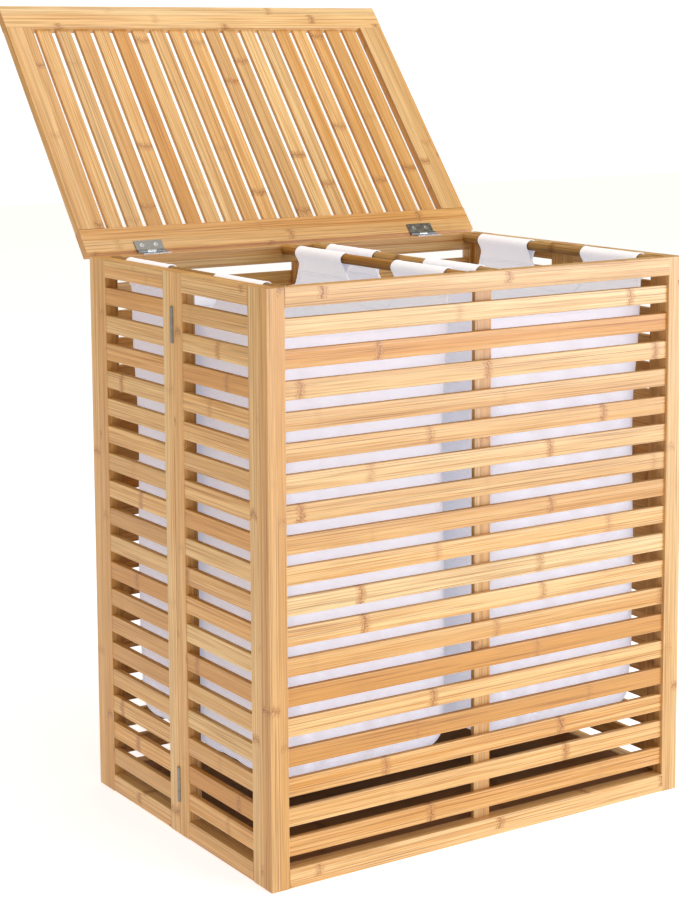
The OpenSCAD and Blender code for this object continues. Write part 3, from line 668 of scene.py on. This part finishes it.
class Bag:
    """The size and fold pattern of one bag, and its surface as a function."""

    def __init__(self, side, seed):
        """Takes the bag's size from its own rods and CAD piece, and draws the
        count, slant, phase and strength of each wave of the cloth."""
        inner, outer = (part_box(f"{side}_{place}_rod") for place in ("inner", "outer"))
        rods = [(low[0] + high[0]) / 2 for low, high in (inner, outer)]
        self.rod_x = sorted(rods)
        self.rod_r = (inner[1][0] - inner[0][0]) / 2
        self.rod_z = (inner[0][2] + inner[1][2]) / 2
        low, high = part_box(f"{side}_liner_bag")
        self.y = (low[1] + CLOTH_T / 2 - FORWARD, high[1] - CLOTH_T / 2 - FORWARD)
        self.low_z = low[2] + CLOTH_T
        self.centre = np.array([sum(rods) / 2, sum(self.y) / 2])
        self.half = np.array([abs(rods[1] - rods[0]) / 2,
                              (self.y[1] - self.y[0]) / 2])
        fold = np.random.default_rng(seed)
        self.modes = [(fold.integers(3, 19), fold.normal(0, 6), fold.random() * math.tau,
                       fold.normal(0, 1)) for _ in range(26)]
        self.creases = [(fold.integers(8, 44), fold.normal(0, 42),
                         fold.random() * math.tau, fold.normal(0, 1))
                        for _ in range(22)]

    def ring(self):
        """How far round each column stands: its side of the rectangle, its
        fraction of that side, and its share of the way round."""
        parts = []
        for i, steps in enumerate((X_STEPS, CORNER_STEPS, Y_STEPS, CORNER_STEPS) * 2):
            f = np.arange(steps) / steps
            parts.append(np.stack([np.full(steps, i), f], -1))
        column = np.concatenate(parts)
        return column[:, 0].astype(int), column[:, 1]

    def outline(self, part, f, r):
        """A rounded rectangle: straight runs between the corners' centres, and a
        quarter circle of radius r about each centre. Gives the place and the
        outward direction."""
        hx, hy = self.half
        corner = np.array([[-1, -1], [1, -1], [1, 1], [-1, 1]])
        start = part // 2
        a = (start - 1) * math.pi / 2 + np.where(part % 2, f * math.pi / 2, 0)
        out = np.stack([np.cos(a), np.sin(a)], -1)
        here, there = corner[start], corner[(start + 1) % 4]
        centre = np.where((part % 2)[..., None], there, here + (there - here)
                          * f[..., None])
        inset = np.stack([hx - r, hy - r], -1)
        return centre * inset + out * r[..., None], out

    def rim(self, part, f):
        """Height of the open edge. It is the hem's height along the front and
        back, and the seam's height under a sleeve, with a concave curve from the
        sleeve's end down to the cut between the two sleeves."""
        hem, seam = self.rod_z - HEM_DROP, self.rod_z - SEAM_DROP + 0.002
        place, _ = self.outline(part, f, np.full(f.shape, TOP_CORNER_R))
        from_end = self.half[1] - np.abs(place[..., 1])
        flared = np.clip(1 - (from_end - SLEEVE_LEN) / FLARE, 0, 1) ** 2
        side = hem + (seam - hem) * flared
        slack = HEM_SLACK * np.sin(math.pi * np.clip(f, 0, 1))
        front = hem - slack
        turn = np.where(part % 4 == 1, f, 1 - f)
        corner = hem + (seam - hem) * smooth(turn * 1.6)
        return np.select([part % 4 == 0, part % 4 == 2], [front, side], corner)

    def waves(self, modes, around, z):
        """A sum of cosines round the bag, each slanting as it goes down."""
        return sum(a * np.cos(math.tau * k * around + q * z + p)
                   for k, q, p, a in modes) / math.sqrt(len(modes))

    def surface(self, part, f, t):
        """The bag's skin. t runs from 0 at the rim to 1 where the wall ends, to 2
        round the bottom edge and to 3 at the middle of the bottom. The wall
        stands on the outline, and is pushed out along it by upright waves that
        grow below the hem, by creases near the bottom, and by a slow bulge."""
        rim = self.rim(part, f)
        foot = self.low_z + BOTTOM_R
        wall = np.clip(t, 0, 1)
        turn = np.clip(t - 1, 0, 1) * math.pi / 2
        inward = np.clip(t - 2, 0, 1)
        z = rim + (foot - rim) * wall - BOTTOM_R * np.sin(turn)
        depth = np.clip((self.rod_z - HEM_DROP - z) / 0.16, 0, 1)
        r = TOP_CORNER_R + (LOW_CORNER_R - TOP_CORNER_R) * smooth(depth)
        place, out = self.outline(part, f, r)
        around = (part // 2 + np.where(part % 2, 0.92 + 0.08 * f, 0.92 * f)) / 4
        fade = smooth(depth * 2.2)
        push = FOLD_DEEP * self.waves(self.modes, around, z) * fade
        low = smooth(1 - (z - self.low_z) / 0.20)
        push += CREASE_DEEP * self.waves(self.creases, around, z) * (0.25 + low) * fade
        push += BULGE * np.sin(math.pi * np.clip((z - self.low_z) / 0.3, 0, 1)) * fade
        straight = np.where(part % 2, 0.0, np.sin(math.pi * np.clip(f, 0, 1)))
        push -= np.where(part % 4 == 0, DIP * straight * (1 - fade), 0.0)
        push = np.clip(push, *PUSH_RANGE)
        push -= BOTTOM_R * (1 - np.cos(turn))
        place = place + out * push[..., None]
        place = place * (1 - inward)[..., None]
        size = 1 - inward
        sag = np.where(t > 2, SAG * self.waves(self.creases, around, place[..., 0] * 3)
                       * size * (1 - size) * 4, 0)
        return np.concatenate([place + self.centre, (z + sag)[..., None]], -1)


def bag_piece(side, seed):
    """The bag's skin as rings from the rim to the middle of the bottom, given a
    cloth's thickness. Rings lie closer together near the rim."""
    bag = Bag(side, seed)
    part, f = bag.ring()
    t = np.concatenate([np.linspace(0, 1, WALL_STEPS, endpoint=False) ** 1.15,
                        np.linspace(1, 2, ROUND_STEPS, endpoint=False),
                        np.linspace(2, 3, BOTTOM_STEPS)])
    part, t = np.broadcast_arrays(part[:, None], t[None, :])
    f = np.broadcast_to(f[:, None], t.shape)
    grid = bag.surface(part, f, t)
    steps = np.linalg.norm(np.diff(grid, axis=1), axis=-1)
    down = np.concatenate([np.zeros((len(grid), 1)), np.cumsum(steps, 1)], 1)
    hop = np.linalg.norm(np.diff(grid[:, GIRTH_RING], axis=0), axis=-1)
    over = np.concatenate([[0], np.cumsum(hop)])
    weave = np.stack([np.broadcast_to(over[:, None], down.shape), down,
                      np.zeros(down.shape)], -1)
    piece = surface(f"{side}_liner_bag.cloth", grid, wrap_u=True, flip=True,
                    layers={"weave": weave})
    thick = piece.modifiers.new("cloth", "SOLIDIFY")
    thick.thickness = CLOTH_T
    thick.offset = 0.0
    finish(piece, f"{side}_liner_bag", white_cloth_painted_glow)
    return bag


bags = {side: bag_piece(side, seed) for side, seed in (("left", 5), ("right", 8))}

# ---- The liners: sleeves and hems ----
# A strip of the same cloth is folded over each rod and sewn to the side wall with
# two rows of stitches. Its ends are hemmed, and a folded hem runs round the rim.

SLEEVE_T = 0.0009
SLEEVE_GAP = 0.0003             # room round a rod
FLAP_DROP = 0.0225              # lower edge of a sleeve, below the rod
STITCH_PITCH = 0.0034
STITCH_LEN = 0.0026
STITCH_R = 0.00033
END_HEM = 0.006                 # stitches stand this far from a sleeve's end
END_FOLD = 0.0080               # width of the fold hemmed by them
FOLD_STEP = 0.0006              # how far the fold stands up
FLARE_STEP = 0.0006             # how far the sleeve's open end widens
RIPPLE = 0.0007                 # height of the ripples
HUG = math.radians(38)          # the cloth leaves the rod this far below its middle
ROD_SHARE = (0.25, 0.75)        # stretch of s that lies on the rod
SLEEVE_GIRTH = 0.075            # length of cloth across a sleeve
HEM_STITCH_T = 0.0215           # place of the hem's stitches on the bag's wall
LINE_POINTS = 120               # points along a line of stitches


def sleeve_loop(bag, s, y, y0, seed):
    """Across a sleeve: up one side, round the rod and down the other. The sides
    run from the flap's edge, one cloth from the wall, and lean out to meet the
    circle; s goes from 0 to 1. The ends flare and the cloth ripples a little, less
    on top of the rod, where the shut lid lies a cloth's thickness above it."""
    wave = np.random.default_rng(seed)
    r = bag.rod_r + SLEEVE_GAP + SLEEVE_T / 2
    start, stop = ROD_SHARE
    angle = -HUG + (s - start) / (stop - start) * (math.pi + 2 * HUG)
    on_rod = np.stack([-np.cos(angle), np.sin(angle)], -1) * r
    edge = np.stack([np.where(s < 0.5, -1, 1) * (CLOTH_T / 2 + SLEEVE_T * 0.9),
                     np.full(s.shape, -FLAP_DROP)], -1)
    flat = np.where(s < start, s / start, np.where(s > stop, (1 - s) / start, 1))
    hug = np.stack([np.where(s < 0.5, -1, 1) * np.cos(HUG) * r,
                    np.full(s.shape, -math.sin(HUG) * r)], -1)
    lean = edge + (hug - edge) * np.stack([flat ** 2.6, flat], -1)
    loop = np.where((flat < 1)[..., None], lean, on_rod)
    out = loop / np.linalg.norm(loop, axis=-1, keepdims=True)
    b = (y - y0) / SLEEVE_LEN
    ripple = sum(wave.random() * (1 + np.cos(math.tau * (k * b + m * s)
                                             + wave.random() * 9))
                 for k, m in ((2, 1), (3, 2), (5, 1), (7, 3), (4, 4))) / 5
    from_end = np.minimum(b, 1 - b) * SLEEVE_LEN
    flare = np.exp(-from_end / 0.0035)
    fold = smooth((END_FOLD - from_end) / 0.0009)
    loose = RIPPLE * ripple + FLARE_STEP * flare + FOLD_STEP * fold
    loose = loose * (1 - 0.75 * smooth(1.3 * out[..., 1]))
    loop = loop + out * loose[..., None]
    return loop, out


def sleeve_grid(bag, rod, end, s, b, seed):
    """Points of one sleeve and the way out of the cloth at each. s goes across
    the sleeve and b along it, each from 0 to 1."""
    y0 = bag.y[0] + 0.003 if end == 0 else bag.y[1] - 0.003 - SLEEVE_LEN
    y = y0 + b * SLEEVE_LEN
    loop, out = sleeve_loop(bag, s, y, y0, seed)
    x = bag.rod_x[rod] + loop[..., 0]
    z = bag.rod_z + loop[..., 1]
    normal = np.stack([out[..., 0], np.zeros(s.shape), out[..., 1]], -1)
    return np.stack([x, y, z], -1), normal


def stitches(centre, along, out):
    """Stitches as small capsules: a circle carried along each stitch, whose
    radius closes like a half circle at both ends, bedded in the cloth."""
    unit = along / np.linalg.norm(along, axis=-1, keepdims=True)
    out = out - unit * (out * unit).sum(-1, keepdims=True)
    out = out / np.linalg.norm(out, axis=-1, keepdims=True)
    side = np.cross(unit, out)
    a = np.arange(6) * math.tau / 6
    u = np.array([-1, -0.8, 0, 0.8, 1])
    r = STITCH_R * np.sqrt(np.clip(1 - u ** 4, 0, 1))
    ring = (np.cos(a)[:, None, None] * side[:, None, None]
            + np.sin(a)[:, None, None] * out[:, None, None])
    line = unit[:, None, None] * (u[:, None] * STITCH_LEN / 2)
    return (centre + out * STITCH_R * 0.4)[:, None, None] + ring * r[:, None] + line


def run_of_stitches(points, out):
    """Stitches spaced evenly by length along a line of points."""
    hop = np.linalg.norm(np.diff(points, axis=0), axis=-1)
    way = np.concatenate([[0], np.cumsum(hop)])
    at = np.arange(STITCH_PITCH / 2, way[-1], STITCH_PITCH)
    centre, along, away = (
        np.stack([np.interp(at, way, values[:, i]) for i in range(3)], -1)
        for values in (points, np.gradient(points, axis=0), out))
    return stitches(centre, along, away)


thread_cloth = woven_cloth("white_polyester_thread", "D9D6DF", "BBB7C4", 0.0)


def liner_trim(side, bag):
    """The four sleeves of a bag, the hem round its rim and all its stitches."""
    sewn = []
    end = np.linspace(0, 0.1, 22)
    steps = np.concatenate([end, np.linspace(0.1, 0.9, 28)[1:-1], 1 - end[::-1]])
    s, b = np.meshgrid(np.linspace(0, 1, 56), steps, indexing="ij")
    line = np.linspace(0, 1, LINE_POINTS)
    for rod in (0, 1):
        for end in (0, 1):
            seed = 40 + rod * 2 + end + (10 if side == "left" else 0)
            grid, _ = sleeve_grid(bag, rod, end, s, b, seed)
            girth = s * SLEEVE_GIRTH
            weave = np.stack([b * SLEEVE_LEN, girth, 0 * s], -1)
            name = f"{side}_liner_sleeve_{rod}{end}.cloth"
            piece = surface(name, grid, layers={"weave": weave})
            thick = piece.modifiers.new("cloth", "SOLIDIFY")
            thick.thickness = SLEEVE_T
            thick.offset = 0.0
            piece.data.materials.append(white_cloth_painted_glow)
            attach(piece, f"{side}_liner")
            reach = ROD_SHARE[0] * (FLAP_DROP - SEAM_DROP) / (FLAP_DROP - bag.rod_r * 0.6)
            for near in (reach, reach * 0.62):
                for place in (near, 1 - near):
                    sewn.append(run_of_stitches(*sleeve_grid(
                        bag, rod, end, np.full(LINE_POINTS, place), line, seed)))
            for place in (END_HEM / SLEEVE_LEN, 1 - END_HEM / SLEEVE_LEN):
                sewn.append(run_of_stitches(*sleeve_grid(
                    bag, rod, end, line, np.full(LINE_POINTS, place), seed)))
    part, f = bag.ring()
    low = bag.surface(part, f, np.full(f.shape, HEM_STITCH_T))
    _, out = bag.outline(part, f, np.full(f.shape, TOP_CORNER_R))
    out = np.concatenate([out, np.zeros((len(out), 1))], -1)
    low = low + out * CLOTH_T * 0.5
    sewn.append(run_of_stitches(low, out))
    sewn.append(run_of_stitches(low - out * CLOTH_T, -out))
    thread = surface(f"{side}_liner_stitches", np.concatenate(sewn), wrap_u=True,
                     flip=True)
    thread.data.materials.append(thread_cloth)
    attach(thread, f"{side}_liner")

    # The hem is folded cloth, so it stands a cloth's thickness proud of the wall
    deep = np.array([-0.0004, 0.0, 0.001, HEM_WIDE - 0.001, HEM_WIDE, HEM_WIDE])
    proud = np.array([0.0, 0.0011, 0.0013, 0.0013, 0.0011, 0.0])
    deep = np.concatenate([deep, deep[::-1]])
    proud = np.concatenate([proud, -proud[::-1]])
    rim = bag.rim(part, f)
    tall = rim - (bag.low_z + BOTTOM_R)
    t = np.clip(deep, 0, 1)[None, :] / tall[:, None]
    wide = np.broadcast_to(part[:, None], t.shape), np.broadcast_to(f[:, None], t.shape)
    band = bag.surface(*wide, t)
    band = band + out[:, None] * proud[None, :, None]
    band[..., 2] += np.where(deep < 0, 0.0004, 0)
    way = np.concatenate([[0], np.cumsum(np.linalg.norm(
        np.diff(band[:, 1], axis=0), axis=-1))])
    weave = np.stack([np.broadcast_to(way[:, None], t.shape),
                      np.broadcast_to(deep[None, :], t.shape), 0 * t], -1)
    hem = surface(f"{side}_liner_hem.cloth", band, wrap_u=True, wrap_v=True,
                  flip=True, layers={"weave": weave})
    hem.data.materials.append(white_cloth_painted_glow)
    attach(hem, f"{side}_liner")


for side, bag in bags.items():
    liner_trim(side, bag)

# ---- The studio: floor, light and camera ----
# A pale matt floor that glows a little, under soft light from the front right and
# from above, with a weaker even light from all round for the shaded side.

FLOOR_HALF = 9.0
FLOOR_STEPS = 9
FLOOR_GAP = 0.0003              # keeps the floor clear of the bars' end faces

reach = np.linspace(-FLOOR_HALF, FLOOR_HALF, FLOOR_STEPS)
floor_grid = np.stack(np.meshgrid(reach, reach, [-FLOOR_GAP], indexing="ij"), -1)[:, :, 0]
floor = surface("floor", floor_grid)
paper, tree, shader = new_material("matt_white_paper")
shader.inputs["Base Color"].default_value = linear("F1F4FB")
shader.inputs["Roughness"].default_value = 0.95
shader.inputs["Specular IOR Level"].default_value = 0.1
shader.inputs["Emission Color"].default_value = linear("F0F4FF")
shader.inputs["Emission Strength"].default_value = 0.64
floor.data.materials.append(paper)

world = bpy.data.worlds.new("studio")
bpy.context.scene.world = world
world.use_nodes = True
tree = world.node_tree
sky = tree.nodes["Background"]
seen = add(tree, "LightPath", out="Is Camera Ray")
level = add(tree, "MapRange", {"Value": seen, "To Min": 0.52, "To Max": 1.1})
tree.links.new(level, sky.inputs["Strength"])
tint = add(tree, "Mix", {0: seen, 6: linear("FFF1CC"), 7: linear("FFFFFF")}, out=2,
           data_type="RGBA")
tree.links.new(tint, sky.inputs["Color"])


def soft_light(name, place, aim, size, power, colour):
    """A square area light that faces the point aim."""
    lamp = bpy.data.lights.new(name, "AREA")
    lamp.shape = "SQUARE"
    lamp.size = size
    lamp.energy = power
    lamp.color = colour[:3]
    holder = bpy.data.objects.new(name, lamp)
    bpy.context.scene.collection.objects.link(holder)
    holder.location = place
    holder.rotation_euler = (Vector(aim) - Vector(place)).to_track_quat(
        "-Z", "Y").to_euler()


soft_light("key", (2.1, -2.8, 0.65), (0, 0.2, 0.35), 2.2, 116, linear("CFE3FF"))
soft_light("top", (0.4, -0.2, 3.4), (0, 0.2, 0.4), 2.2, 37, linear("FFFFFF"))

CAMERA_AT = (-1.33896, -1.77786, 0.87525)
YAW, PITCH, ROLL = (math.radians(d) for d in (32.94, -7.37, -0.32))
lens = bpy.data.cameras.new("camera")
lens.lens = 82.79
lens.sensor_width = 36.0
lens.shift_y = -0.15
camera = bpy.data.objects.new("camera", lens)
bpy.context.scene.collection.objects.link(camera)
ahead = Vector((math.sin(YAW) * math.cos(PITCH), math.cos(YAW) * math.cos(PITCH),
                math.sin(PITCH)))
level_right = Vector((math.cos(YAW), -math.sin(YAW), 0))
level_up = level_right.cross(ahead)
right = level_right * math.cos(ROLL) + level_up * math.sin(ROLL)
up = right.cross(ahead)
camera.matrix_world = Matrix.Translation(CAMERA_AT) @ Matrix(
    (right, up, -ahead)).transposed().to_4x4()
bpy.context.scene.camera = camera
bpy.context.scene.view_settings.view_transform = "Standard"
